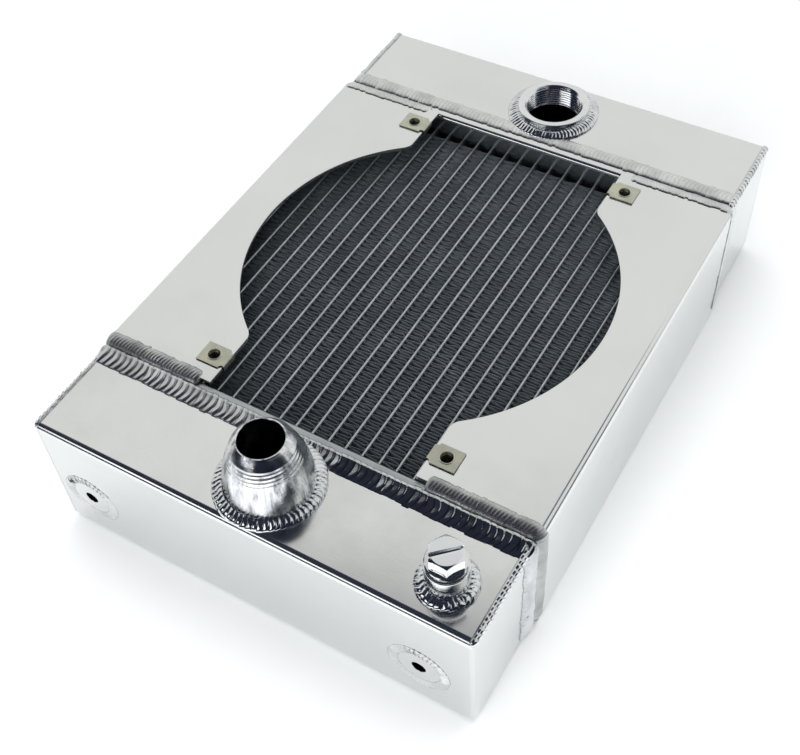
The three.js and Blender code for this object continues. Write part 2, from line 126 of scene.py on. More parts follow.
class Nodes:
    """Adds and links nodes in one tree, starting from one kind of coordinates."""

    def __init__(self, tree, coordinates):
        self.tree = tree
        self.tree.nodes.clear()
        self.place = self.add("ShaderNodeTexCoord").outputs[coordinates]

    def add(self, kind, **settings):
        node = self.tree.nodes.new(kind)
        for key, value in settings.items():
            setattr(node, key, value)
        return node

    def link(self, source, target):
        self.tree.links.new(source, target)

    def scaled(self, scale):
        node = self.add("ShaderNodeMapping")
        self.link(self.place, node.inputs["Vector"])
        node.inputs["Scale"].default_value = scale
        return node.outputs["Vector"]

    def noise(self, scale, detail=3.0, roughness=0.5, stretch=(1, 1, 1), distortion=0.0):
        node = self.add("ShaderNodeTexNoise")
        self.link(self.scaled(stretch), node.inputs["Vector"])
        node.inputs["Scale"].default_value = scale
        node.inputs["Detail"].default_value = detail
        node.inputs["Roughness"].default_value = roughness
        node.inputs["Distortion"].default_value = distortion
        return node.outputs["Fac"]

    def remap(self, value, low, high, to_low, to_high, **settings):
        node = self.add("ShaderNodeMapRange", **settings)
        self.link(value, node.inputs["Value"])
        node.inputs["From Min"].default_value = low
        node.inputs["From Max"].default_value = high
        node.inputs["To Min"].default_value = to_low
        node.inputs["To Max"].default_value = to_high
        return node.outputs["Result"]

    def ramp(self, value, stops):
        node = self.add("ShaderNodeValToRGB")
        self.link(value, node.inputs["Fac"])
        elements = node.color_ramp.elements
        while len(elements) < len(stops):
            elements.new(0.5)
        for element, (place, colour) in zip(elements, stops):
            element.position = place
            element.color = (*colour, 1.0)
        return node.outputs["Color"]

    def math(self, operation, a, b):
        node = self.add("ShaderNodeMath", operation=operation)
        for socket, value in zip(node.inputs, (a, b)):
            if isinstance(value, (int, float)):
                socket.default_value = value
            else:
                self.link(value, socket)
        return node.outputs["Value"]

    def bump(self, height, distance, normal=None):
        node = self.add("ShaderNodeBump")
        self.link(height, node.inputs["Height"])
        node.inputs["Distance"].default_value = distance
        if normal is not None:
            self.link(normal, node.inputs["Normal"])
        return node.outputs["Normal"]

    def blend(self, share, colour, tint, **settings):
        """Mixes a colour, either a constant or a socket, with a constant tint."""
        mix = self.add("ShaderNodeMix", data_type="RGBA", **settings)
        self.link(share, mix.inputs["Factor"])
        if isinstance(colour, tuple):
            mix.inputs["A"].default_value = (*colour, 1.0)
        else:
            self.link(colour, mix.inputs["A"])
        mix.inputs["B"].default_value = (*tint, 1.0)
        return mix.outputs["Result"]

    def part(self, vector, axis):
        """One axis of a vector."""
        split = self.add("ShaderNodeSeparateXYZ")
        self.link(vector, split.inputs["Vector"])
        return split.outputs[axis]

    def groove(self):
        """The painted shade stored on the mesh: 1 in a valley or a deep hole, 0 in the open."""
        return self.add("ShaderNodeAttribute", attribute_name="groove").outputs["Fac"]

    def shaded(self, colour, depth=0.97):
        """Darkens a colour where the mesh's groove attribute says that light can't reach."""
        share = self.math("MULTIPLY", self.groove(), depth)
        return self.blend(share, colour, (0.012, 0.013, 0.018))

    def paint_vertical_shade(self, colour, factor):
        """Paints shade on the vertical faces: their colour is darkened by factor, and the top keeps
        its own.
        """
        normal = self.add("ShaderNodeNewGeometry").outputs["Normal"]
        tilt = self.math("ABSOLUTE", self.part(normal, "Z"), 0.0)
        tint = (factor, factor * 1.012, factor * 1.012)
        return self.blend(self.math("LESS_THAN", tilt, 0.2), colour, tint, blend_type="MULTIPLY")


class Surface(Nodes):
    """The nodes of one material."""

    def __init__(self, name):
        self.material = bpy.data.materials.new(name)
        self.material.use_nodes = True
        super().__init__(self.material.node_tree, "Object")

    def finish(self, colour, rough, normal=None, metallic=1.0):
        """Joins everything in a shader and gives the finished material."""
        output = self.add("ShaderNodeOutputMaterial")
        shader = self.add("ShaderNodeBsdfPrincipled")
        self.link(shader.outputs["BSDF"], output.inputs["Surface"])
        self.link(colour, shader.inputs["Base Color"])
        shader.inputs["Metallic"].default_value = metallic
        if isinstance(rough, float):
            shader.inputs["Roughness"].default_value = rough
        else:
            self.link(rough, shader.inputs["Roughness"])
        if normal is not None:
            self.link(normal, shader.inputs["Normal"])
        return self.material


def polished_aluminium():
    """Hand-polished sheet: a soft wave, hazy smudges and faint buffing lines."""
    n = Surface("polished_aluminium")
    haze = n.noise(11, detail=4, roughness=0.55, distortion=0.4)
    smudge = n.noise(60, detail=3, roughness=0.6)
    buffing = n.noise(90, detail=2, stretch=(1, 14, 1))
    rough = n.math("ADD", n.remap(haze, 0.35, 0.7, 0.09, 0.19),
                   n.remap(smudge, 0.4, 0.7, 0.0, 0.04))
    wave = n.bump(n.noise(16, detail=1.5), 0.00012)
    fine = n.bump(buffing, 0.000004, normal=wave)
    colour = n.ramp(haze, [(0.3, (0.84, 0.845, 0.83)), (0.72, (0.79, 0.80, 0.79))])
    # The vertical faces get painted shade, which dims the floor that they reflect.
    return n.finish(n.paint_vertical_shade(n.shaded(colour), 0.86), rough, fine)


def satin_aluminium():
    """The outlet header's rim, dulled by brushing next to the welds."""
    n = Surface("satin_aluminium")
    cloud = n.noise(60, detail=4, roughness=0.6)
    lines = n.noise(160, detail=2, stretch=(1, 9, 1))
    colour = n.ramp(cloud, [(0.3, (0.38, 0.40, 0.42)), (0.7, (0.56, 0.58, 0.60))])
    rough = n.remap(cloud, 0.3, 0.7, 0.26, 0.38)
    return n.finish(colour, rough, n.bump(lines, 0.00001))


def weld_material(name, low, high, rough_low, rough_high, painted_shade_depth, brighter_right=False):
    """Weld metal. The groove attribute paints shade into the valleys between ripples and darkens the
    bead's toes.

    brighter_right makes it five times smoother to the right of the outlet.
    """
    n = Surface(name)
    oxide = n.noise(70, detail=4, roughness=0.6)
    wrinkle = n.noise(900, detail=2, roughness=0.5)
    # Painted shade: the groove attribute darkens the colour by the depth given.
    colour = n.shaded(n.ramp(oxide, [(0.3, low), (0.65, high)]), painted_shade_depth)
    rough = n.math("ADD", n.remap(oxide, 0.3, 0.7, rough_high, rough_low),
                   n.math("MULTIPLY", n.groove(), 0.25))
    if brighter_right:
        share = n.remap(n.part(n.place, "X"), -0.01, 0.03, 1.0, 0.2)
        rough = n.math("MULTIPLY", rough, share)
    return n.finish(colour, rough, n.bump(wrinkle, 0.00002))


def bright_weld():
    """A bead left as it was welded: nearly a mirror between its ripples."""
    return weld_material("bright_weld", (0.66, 0.68, 0.70), (0.84, 0.85, 0.86), 0.06, 0.16, 0.3)


def brushed_weld():
    """A bead that was wire-brushed: grey, with painted shade in its grooves."""
    return weld_material("brushed_weld", (0.40, 0.41, 0.41), (0.62, 0.63, 0.62), 0.30, 0.42, 0.9)


def seam_weld():
    """The outlet tank's seam: brushed grey on the left, bright on the right of the outlet."""
    return weld_material("seam_weld", (0.46, 0.47, 0.48), (0.72, 0.73, 0.74), 0.22, 0.32, 0.85,
                         brighter_right=True)


def dressed_weld():
    """A bead ground nearly flat and buffed, with what is left of its ripples, painted shade between
    them and dark toes.
    """
    return weld_material("dressed_weld", (0.58, 0.59, 0.58), (0.78, 0.79, 0.78), 0.20, 0.34, 0.85)


def machined_aluminium():
    """Turned and polished fittings with faint tool marks round their axis."""
    n = Surface("machined_aluminium")
    marks = n.noise(60, detail=2, stretch=(1, 1, 60))
    cloud = n.noise(80, detail=3)
    colour = n.ramp(cloud, [(0.3, (0.80, 0.815, 0.83)), (0.7, (0.87, 0.875, 0.88))])
    rough = n.remap(cloud, 0.3, 0.7, 0.07, 0.15)
    return n.finish(n.shaded(colour), rough, n.bump(marks, 0.00004))


def streaked_aluminium():
    """The outlet, turned and brushed lengthways, with dark and bright vertical streaks of painted
    reflection in its colour.
    """
    n = Surface("streaked_aluminium")
    marks = n.noise(60, detail=2, stretch=(1, 1, 60))
    painted_streak = n.noise(210, detail=4, roughness=0.65, stretch=(1, 1, 0.09))
    # Painted reflection: the colour runs from dark to bright along the vertical streaks.
    colour = n.ramp(painted_streak, [(0.36, (0.26, 0.275, 0.30)), (0.47, (0.62, 0.63, 0.645)),
                             (0.58, (0.84, 0.85, 0.86))])
    rough = n.remap(painted_streak, 0.35, 0.65, 0.24, 0.09)
    return n.finish(n.shaded(colour), rough, n.bump(marks, 0.00005))


def tube_aluminium():
    """The brazed tubes and side plates: satin, with pale clad residue."""
    n = Surface("tube_aluminium")
    cloud = n.noise(140, detail=4, roughness=0.6)
    grain = n.noise(1500, detail=2)
    colour = n.ramp(cloud, [(0.3, (0.42, 0.45, 0.48)), (0.7, (0.64, 0.67, 0.70))])
    rough = n.remap(cloud, 0.3, 0.7, 0.32, 0.48)
    return n.finish(colour, rough, n.bump(grain, 0.00001), metallic=0.9)


def fin_aluminium():
    """Thin foil with a dark base colour, and a few strips and patches brighter than the rest."""
    n = Surface("fin_aluminium")
    cloud = n.noise(55, detail=4, roughness=0.7)
    speck = n.noise(700, detail=2, roughness=0.6)
    mixed = n.math("ADD", n.math("MULTIPLY", cloud, 0.6), n.math("MULTIPLY", speck, 0.4))
    colour = n.ramp(mixed, [(0.3, (0.15, 0.175, 0.20)), (0.55, (0.24, 0.275, 0.30)),
                            (0.75, (0.42, 0.46, 0.47))])
    rough = n.remap(speck, 0.3, 0.7, 0.38, 0.55)
    return n.finish(colour, rough, n.bump(speck, 0.00003), metallic=0.75)


def zinc_plated_steel():
    """Zinc plate with a faint yellow-green passivation that varies over each clip."""
    n = Surface("zinc_plated_steel")
    tint = n.noise(120, detail=3, roughness=0.6)
    grain = n.noise(1400, detail=3)
    colour = n.ramp(tint, [(0.32, (0.52, 0.52, 0.42)), (0.5, (0.57, 0.575, 0.48)),
                           (0.7, (0.66, 0.64, 0.49))])
    rough = n.remap(grain, 0.3, 0.7, 0.26, 0.42)
    return n.finish(n.shaded(colour), rough, n.bump(grain, 0.000015))


def seal_rubber():
    """Black rubber with a fine grain."""
    n = Surface("seal_rubber")
    grain = n.noise(900, detail=3)
    colour = n.ramp(grain, [(0.3, (0.012, 0.012, 0.013)), (0.7, (0.03, 0.03, 0.032))])
    rough = n.remap(grain, 0.3, 0.7, 0.45, 0.65)
    return n.finish(colour, rough, n.bump(grain, 0.00003), metallic=0.0)


MATERIALS = {make.__name__: make() for make in (
    polished_aluminium, satin_aluminium, bright_weld, brushed_weld, seam_weld, dressed_weld,
    machined_aluminium, streaked_aluminium, tube_aluminium, fin_aluminium, zinc_plated_steel,
    seal_rubber)}


# ---- mesh helpers ------------------------------------------------------------------------

def new_object(name, points, faces, groove=None):
    """A mesh object from points in millimetres. groove is a painted shade per point for the
    material.
    """
    mesh = bpy.data.meshes.new(name)
    mesh.from_pydata((np.asarray(points, float) * MM).tolist(), [], faces)
    if groove is not None:
        mesh.attributes.new("groove", "FLOAT", "POINT").data.foreach_set("value", groove)
    mesh.validate()
    obj = bpy.data.objects.new(name, mesh)
    bpy.context.scene.collection.objects.link(obj)
    return obj


def outward(obj):
    """Turns a closed mesh's faces outwards."""
    bm = bmesh.new()
    bm.from_mesh(obj.data)
    bmesh.ops.remove_doubles(bm, verts=bm.verts, dist=1e-7)
    bmesh.ops.recalc_face_normals(bm, faces=bm.faces)
    bm.to_mesh(obj.data)
    bm.free()
    return obj


def bake(obj):
    """Replaces an object's mesh with the result of its modifiers."""
    graph = bpy.context.evaluated_depsgraph_get()
    mesh = bpy.data.meshes.new_from_object(obj.evaluated_get(graph), depsgraph=graph)
    obj.modifiers.clear()
    obj.data = mesh
    mesh.name = obj.name
    return obj


def combine(obj, other, operation):
    """Cuts, joins or intersects obj with other, and removes other."""
    modifier = obj.modifiers.new("combine", "BOOLEAN")
    modifier.operation = operation
    modifier.solver = "EXACT"
    modifier.object = other
    bpy.context.view_layer.update()
    bake(obj)
    bpy.data.objects.remove(other)
    return obj


def add_bevel(obj, width, angle):
    bevel = obj.modifiers.new("edges", "BEVEL")
    bevel.width = width * MM
    bevel.segments = BEVEL_SEGMENTS
    bevel.limit_method = "ANGLE"
    bevel.angle_limit = math.radians(angle)
    return bevel


def bevel_small(obj, width):
    """Breaks the sharp edges of a fine part."""
    add_bevel(obj, width, 55)
    bpy.context.view_layer.update()
    return bake(obj)


def soften(obj, width, angle=40):
    """Rounds the sharp edges and keeps the flat faces flat in the shading."""
    add_bevel(obj, width, angle).miter_outer = "MITER_ARC"
    obj.modifiers.new("normals", "WEIGHTED_NORMAL").keep_sharp = True
    bpy.context.view_layer.update()
    for polygon in obj.data.polygons:
        polygon.use_smooth = True
    return bake(obj)


def smooth(obj, angle, flat_area=None):
    """Smooth shading up to an angle. Faces over flat_area, in square millimetres, stay flat."""
    for polygon in obj.data.polygons:
        polygon.use_smooth = True
    obj.data.set_sharp_from_angle(angle=math.radians(angle))
    if flat_area:
        for polygon in obj.data.polygons:
            polygon.use_smooth = polygon.area / MM ** 2 < flat_area
    return obj


def piece(obj, slot, nodes=(), body=BODY, material=None):
    """Gives a finished mesh its material, its body and the CAD nodes that it stands for."""
    obj.data.materials.clear()
    obj.data.materials.append(MATERIALS[material or slot])
    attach(obj, body)
    if nodes:
        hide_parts(*nodes)
    return obj


def prism(name, outline, axis, start, end):
    """A closed solid from an outline: (y, z) pairs along x, (x, z) along y, (x, y) along z."""
    order = {"x": (2, 0, 1), "y": (0, 2, 1), "z": (0, 1, 2)}[axis]
    count = len(outline)
    points = []
    for level in (start, end):
        for a, b in outline:
            values = (a, b, level)
            points.append([values[order[0]], values[order[1]], values[order[2]]])
    faces = [list(range(count)), list(range(count, 2 * count))]
    faces += [[i, (i + 1) % count, count + (i + 1) % count, count + i] for i in range(count)]
    return outward(new_object(name, points, faces))


def arc(centre, radius, start, end, steps):
    """Points on an arc, both ends included. Angles are in radians."""
    return [(centre[0] + radius * math.cos(start + (end - start) * i / steps),
             centre[1] + radius * math.sin(start + (end - start) * i / steps))
            for i in range(steps + 1)]


def rounded_rectangle(half_width, half_height, radius, middle=(0.0, 0.0), steps=6):
    """A rectangle's outline with round corners, anticlockwise from the right side."""
    cx, cy = middle
    dx, dy = half_width - radius, half_height - radius
    corners = [(dx, dy, 0), (-dx, dy, 1), (-dx, -dy, 2), (dx, -dy, 3)]
    outline = []
    for x, y, turn in corners:
        outline += arc((cx + x, cy + y), radius, turn * QUARTER, (turn + 1) * QUARTER, steps)
    return outline


def loft(name, rings, closed=False, groove=None):
    """Joins rings of equal length into a skin. A closed loft's last ring meets its first."""
    count = len(rings[0])
    points = [p for ring in rings for p in ring]
    faces = []
    spans = len(rings) if closed else len(rings) - 1
    for r in range(spans):
        a, b = r * count, (r + 1) % len(rings) * count
        faces += [[a + i, a + (i + 1) % count, b + (i + 1) % count, b + i] for i in range(count)]
    if not closed:
        faces += [list(range(count)), list(range(len(points) - count, len(points)))]
    return outward(new_object(name, points, faces, groove))


def lathe(name, profile, centre, segments=LATHE_SEGMENTS, axis="z", thread=None, dark=None):
    """Turns a closed (radius, height) profile about an axis through centre.

    thread is (first height, last height, pitch, depth, direction): a helical groove cut into the
    points whose height lies between the two, outwards for direction 1 and inwards for -1.
    dark, if given, is painted shade: for each (radius, height), how deep in a hole it is, from 0 to
    1.
    """
    first, last, pitch, depth, direction = thread or (1, 0, 1, 0, 1)
    rings, shade = [], []
    for r, h in profile:
        ring = []
        shade += [dark(r, h) if dark else 0.0] * segments
        for i in range(segments):
            angle = TAU * i / segments
            radius = r
            if first <= h <= last:
                phase = (h / pitch - i / segments) % 1.0
                cut = 1 - abs(2 * phase - 1)
                fade = min(1.0, (h - first) / (0.5 * pitch), (last - h) / (0.5 * pitch))
                radius = r - direction * depth * cut * max(fade, 0.0)
            a, b = radius * math.cos(angle), radius * math.sin(angle)
            if axis == "z":
                ring.append((centre[0] + a, centre[1] + b, centre[2] + h))
            else:
                ring.append((centre[0] + a, centre[1] + h, centre[2] + b))
        rings.append(ring)
    return loft(name, rings, closed=True, groove=shade)


def steps_between(low, high, spacing):
    """Values from low to high, both included, about spacing apart."""
    count = max(2, int(round(abs(high - low) / spacing)))
    return [low + (high - low) * i / count for i in range(count + 1)]


def insert_place(end_name, side_name):
    """The middle of a mounting insert's face, as (x, z), its radius and its length."""
    low, high = box_mm(f"{end_name}_{side_name}_mount_insert")
    middle = ((low[0] + high[0]) / 2, (low[2] + high[2]) / 2)
    return middle, (high[0] - low[0]) / 2, high[1] - low[1]


# ---- tanks -------------------------------------------------------------------------------

def tank_fold(name, end, holes):
    """The sheet folded over a tank's end face and both broad faces."""
    outer, sheet = TANK_BEND, TANK_SHEET
    y1, y0 = SEAM_Y, HALF
    up = [(y1, TANK_TOP)] + arc((y0 - outer, TANK_TOP - outer), outer, QUARTER, 0, 10)
    down = arc((y0 - outer, TANK_BOTTOM + outer), outer, 0, -QUARTER, 10) + [(y1, TANK_BOTTOM)]
    inner_low = [(y1, TANK_BOTTOM + sheet)]
    inner_low += arc((y0 - outer, TANK_BOTTOM + outer), outer - sheet, -QUARTER, 0, 4)
    inner_high = arc((y0 - outer, TANK_TOP - outer), outer - sheet, 0, QUARTER, 4)
    inner_high += [(y1, TANK_TOP - sheet)]
    outline = [(end * y, z) for y, z in up + down + inner_low + inner_high]
    fold = prism(name, outline, "x", -HALF_WIDTH + sheet, HALF_WIDTH - sheet)
    for hole in holes:
        combine(fold, hole, "DIFFERENCE")
    return soften(fold, 0.25, angle=50)


def hole_through(radius, centre, low, high, axis="z", steps=64):
    """A round bar, for cutting a hole or for joining on."""
    ring = arc(centre, radius, 0, TAU * (steps - 1) / steps, steps - 1)
    return prism("cutter", ring, axis, low, high)


def tank_end(name, end, side):
    """The plate that closes one side of a tank, with a soft round edge."""
    y1, y0 = SEAM_Y, HALF
    r = TANK_BEND
    outline = [(y1, TANK_BOTTOM), (y1, TANK_TOP)]
    outline += arc((y0 - r, TANK_TOP - r), r, QUARTER, 0, 10)
    outline += arc((y0 - r, TANK_BOTTOM + r), r, 0, -QUARTER, 10)
    outline = [(end * y, z) for y, z in outline]
    inner, outer = side * (HALF_WIDTH - TANK_SHEET), side * HALF_WIDTH
    radius = 2.2

    def shrink(y, z, inset):
        """Draws a point of the outline in, but not where the plate meets the seam."""
        from_seam = abs(y) - y1
        share_y = min(1.0, from_seam / 6) if abs(from_seam) > 1e-6 else 0.0
        share_z = min(1.0, abs(z - MIDDLE_Z) / 20)
        return (y - math.copysign(inset, y) * share_y,
                z - inset * math.copysign(share_z, z - MIDDLE_Z))

    rings = [[(inner, y, z) for y, z in outline]]
    for i in range(7):
        angle = QUARTER * i / 6
        x = outer - side * radius * (1 - math.sin(angle))
        inset = radius * (1 - math.cos(angle))
        rings.append([(x, *shrink(y, z, inset)) for y, z in outline])
    return smooth(loft(name, rings), 50)


def build_tanks():
    holes = {"near": [], "far": []}
    for end_name, place, radius in (("near", OUTLET, 12.1), ("near", DRAIN, 10.3),
                                    ("far", INLET, 19.5)):
        holes[end_name].append(hole_through(radius, place[:2], TANK_TOP - 12, TANK_TOP + 5))
    for end_name, end in ENDS:
        for side_name, _ in SIDES:
            middle, radius, _ = insert_place(end_name, side_name)
            hole = hole_through(radius, middle, end * (HALF - 6), end * (HALF + 2), "y")
            holes[end_name].append(hole)
        fold = tank_fold(f"{end_name}_tank_sheet", end, holes[end_name])
        piece(fold, "polished_aluminium", [f"{end_name}_tank_shell"])
        for side_name, side in SIDES:
            node = f"{end_name}_{side_name}_tank_end"
            plate = tank_end(f"{end_name}_{side_name}_tank_plate", end, side)
            piece(plate, "polished_aluminium", [node])


# ---- headers -----------------------------------------------------------------------------

def header(name, end):
    """The pressed tube plate: a pan with a rolled edge and a slot for each tube."""
    sheet, bend, slot_gap = TANK_SHEET, HEADER_BEND, 0.15
    face, rim = CORE_Y, SEAM_Y

    def ring(inset, y):
        """The pan's outline, drawn in by inset, at one place along Y."""
        radius = max(LOOP_CORNER - inset * 0.5, 0.6)
        outline = rounded_rectangle(
            HALF_WIDTH - inset, TANK_HALF - inset, radius, (0, MIDDLE_Z), steps=5)
        return [(x, end * y, z) for x, z in outline]

    rings = [ring(0, rim)]
    for i in range(9):
        angle = QUARTER * i / 8
        rings.append(ring(bend * (1 - math.cos(angle)), face + bend * (1 - math.sin(angle))))
    outer = loft(name, rings)
    pocket = [ring(sheet, rim + 5), ring(sheet, face + sheet + 1), ring(sheet + 1, face + sheet)]
    combine(outer, loft("cutter", pocket), "DIFFERENCE")
    slots = None
    for x in TUBE_X:
        outline = rounded_rectangle(TUBE_HALF + slot_gap, CORE_HALF + slot_gap, TUBE_HALF,
                                    (x, MIDDLE_Z), steps=5)
        slot = prism("cutter", outline, "y", end * (face - 2), end * (face + sheet + 3))
        slots = slot if slots is None else join(slots, slot)
    combine(outer, slots, "DIFFERENCE")
    return smooth(outer, 30)


def join(first, second):
    """Puts two separate meshes into the first object."""
    bm = bmesh.new()
    bm.from_mesh(first.data)
    bm.from_mesh(second.data)
    bm.to_mesh(first.data)
    bm.free()
    bpy.data.objects.remove(second)
    return first


def build_headers():
    for end_name, end in ENDS:
        pan = header(f"{end_name}_header_pan", end)
        finish = "satin_aluminium" if end < 0 else "polished_aluminium"
        piece(pan, "polished_aluminium", [f"{end_name}_header"], material=finish)


# ---- core --------------------------------------------------------------------------------

def tube(name, x):
    """A flat tube with round edges and an open bore, very slightly uneven along its length."""
    rng = random.Random(name)
    wall = 0.3
    outer, inner = (
        rounded_rectangle(TUBE_HALF - inset, CORE_HALF - inset, TUBE_HALF - inset - 0.01,
                          (0, MIDDLE_Z))
        for inset in (0, wall))
    phase, sway = rng.uniform(0, TAU), rng.uniform(0.02, 0.07)

    def section(outline, y):
        """The tube's outline at one place along it, shifted by its sway."""
        shift = sway * math.sin(y / 38 + phase)
        return [(x + a + shift, y, z) for a, z in outline]

    places = steps_between(tube_low[1], tube_high[1], 9.0)
    rings = [section(outer, y) for y in places] + [section(inner, y) for y in reversed(places)]
    return smooth(loft(name, rings, closed=True), 40)


# How a foil is bent: every other leg is shifted along Y, and a few legs are dented.
LEG_SHIFT = 0.28
DENT_CHANCE = 0.012
# Half a foil's thickness, its gap to the tube, and how far a louvre stands out of it.
FOIL_HALF = 0.085
FOIL_GAP = 0.02
LOUVRE_LIFT = 0.24
# Places across a foil, from one tube at -1 to the other at 1.
LEG_PLACES = (-0.99, -0.93, -0.80, -0.60, -0.25, 0.25, 0.60, 0.80, 0.93, 0.99)
# Depths below the core's face where a fin's louvres fold, and the way that each fold leans.
LOUVRE_FOLDS = ((0.0, 0), (0.5, 1), (1.5, -1), (2.5, 1), (3.5, -1), (4.5, 0), (6.0, 0))


def fin_route(rng, low, high):
    """One foil's path as (across, y, dent) rows: parallel legs and round crests, a little bent."""
    spacing = FIN_SPACING
    route = []
    for leg in range(int((high - low) / spacing)):
        direction = 1 if leg % 2 == 0 else -1
        start = low + leg * spacing + (LEG_SHIFT if leg % 2 else 0.0)
        bow, wave = 0.20 + rng.gauss(0, 0.10), rng.gauss(0, 0.14)
        hurt = rng.random() < DENT_CHANCE
        dent = rng.uniform(0.4, 0.9) if hurt else abs(rng.gauss(0, 0.08))
        for t in LEG_PLACES:
            middle = math.cos(t * QUARTER)
            y = start + spacing * (0.5 + 0.13 * t + 0.37 * t ** 9) + bow * middle
            y += wave * math.sin(math.pi * t) + (0.9 * middle if hurt else 0.0)
            route.append((direction * t, y, dent * middle))
    return np.array(route)


def fin_strip(name, x):
    """One corrugated foil strip between two tubes, with its louvres folded into the legs."""
    rng = random.Random(name)
    reach = PITCH / 2 - TUBE_HALF - FOIL_HALF - FOIL_GAP
    route = fin_route(rng, fin_low[1] + 0.3, fin_high[1] - 0.3)
    path = np.stack([x + reach * route[:, 0], route[:, 1]], axis=1)
    tangent = np.gradient(path, axis=0)
    tangent /= np.linalg.norm(tangent, axis=1)[:, None]
    normal = np.stack([-tangent[:, 1], tangent[:, 0]], axis=1)
    louvred = np.clip((0.86 - np.abs(route[:, 0])) / 0.15, 0, 1) * np.sign(tangent[:, 0])
    front, back = [], []
    for depth, lean in LOUVRE_FOLDS:
        offset = normal * (LOUVRE_LIFT * lean * louvred)[:, None]
        z = CORE_TOP - 0.1 - depth - route[:, 2] * (1 - depth / LOUVRE_FOLDS[-1][0])
        front.append(np.column_stack([path + offset + normal * FOIL_HALF, z]))
        back.append(np.column_stack([path + offset - normal * FOIL_HALF, z]))
    for face, shift in ((front, FOIL_HALF), (back, -FOIL_HALF)):
        z = np.full(len(path), CORE_BOTTOM + 0.1)
        face.append(np.column_stack([path + normal * shift, z]))
    rings = np.stack(front + back[::-1], axis=1)
    strip = loft(name, rings.tolist())
    return smooth(strip, 30)


def side_plate(name):
    """The plate that closes one side of the core."""
    low, high = box_mm(f"{name}_core_side_plate")
    outline = rounded_rectangle((high[0] - low[0]) / 2, (high[2] - low[2]) / 2, 0.3,
                                ((low[0] + high[0]) / 2, MIDDLE_Z), steps=3)
    plate = prism(f"{name}_side_plate", outline, "y", low[1], high[1])
    return soften(plate, 0.2)


def build_core():
    for i, x in enumerate(TUBE_X):
        flat_tube = tube(f"flat_tube_{i + 1:02d}", x)
        piece(flat_tube, "tube_aluminium", [f"tube_{i + 1:02d}"])
    for i in range(TUBES + 1):
        strip = fin_strip(f"fin_strip_{i + 1:02d}", TUBE_X[0] + (i - 0.5) * PITCH)
        piece(strip, "fin_aluminium", ["fin_pack"])
    for side_name, _ in SIDES:
        piece(side_plate(side_name), "tube_aluminium", [f"{side_name}_core_side_plate"])


# ---- shroud ------------------------------------------------------------------------------

def opening_edge():
    """Places along half of the fan opening's edge, as (x, y) from its middle to a shroud's end."""
    r = NECK_FILLET
    fx = NECK + r
    fy = math.sqrt((FAN_RADIUS + r) ** 2 - fx ** 2)
    turn = math.atan2(fy, fx)
    edge = arc((0, 0), FAN_RADIUS, 0, turn, 40)
    edge += arc((fx, fy), r, math.pi + turn, math.pi, 10)[1:]
    return edge + [(NECK, SHROUD_END - 8), (NECK, SHROUD_END - 0.3), (NECK, SHROUD_END)]


def shroud_section(edge_x):
    """A channel's section where the opening's edge is at edge_x, as (x, z) pairs."""
    t, r, top = SHROUD_SHEET, SHROUD_BEND, SHROUD_TOP
    x1 = SHROUD_OUTER
    lip = x1 - SHROUD_LIP
    soft = 0.45
    section = arc((lip + soft, soft), soft, -2 * QUARTER, -QUARTER, 3)
    section += arc((x1 - r, r), r, -QUARTER, 0, 10)
    section += arc((x1 - r, top - r), r, 0, QUARTER, 10)
    section += arc((edge_x + soft, top - soft), soft, QUARTER, 2 * QUARTER, 4)
    section += arc((edge_x + soft, top - t + soft), soft, 2 * QUARTER, 3 * QUARTER, 4)
    section += arc((x1 - r, top - r), r - t, QUARTER, 0, 6)
    section += arc((x1 - r, r), r - t, 0, -QUARTER, 6)
    return section + arc((lip + soft, t - soft), soft, QUARTER, 2 * QUARTER, 3)


def shroud(name, side):
    """One side channel: top flange with its part of the fan opening, wall and bottom lip."""
    half = opening_edge()
    stations = [(x, -y) for x, y in reversed(half[1:])] + half
    rings = [[(side * a, y, b) for a, b in shroud_section(x)] for x, y in stations]
    channel = loft(name, rings)
    for y in (-NUT_Y, NUT_Y):
        hole = hole_through(4.7, (side * NUT_X, y), SHROUD_TOP - 10, SHROUD_TOP + 10, steps=40)
        combine(channel, hole, "DIFFERENCE")
    return smooth(channel, 40)


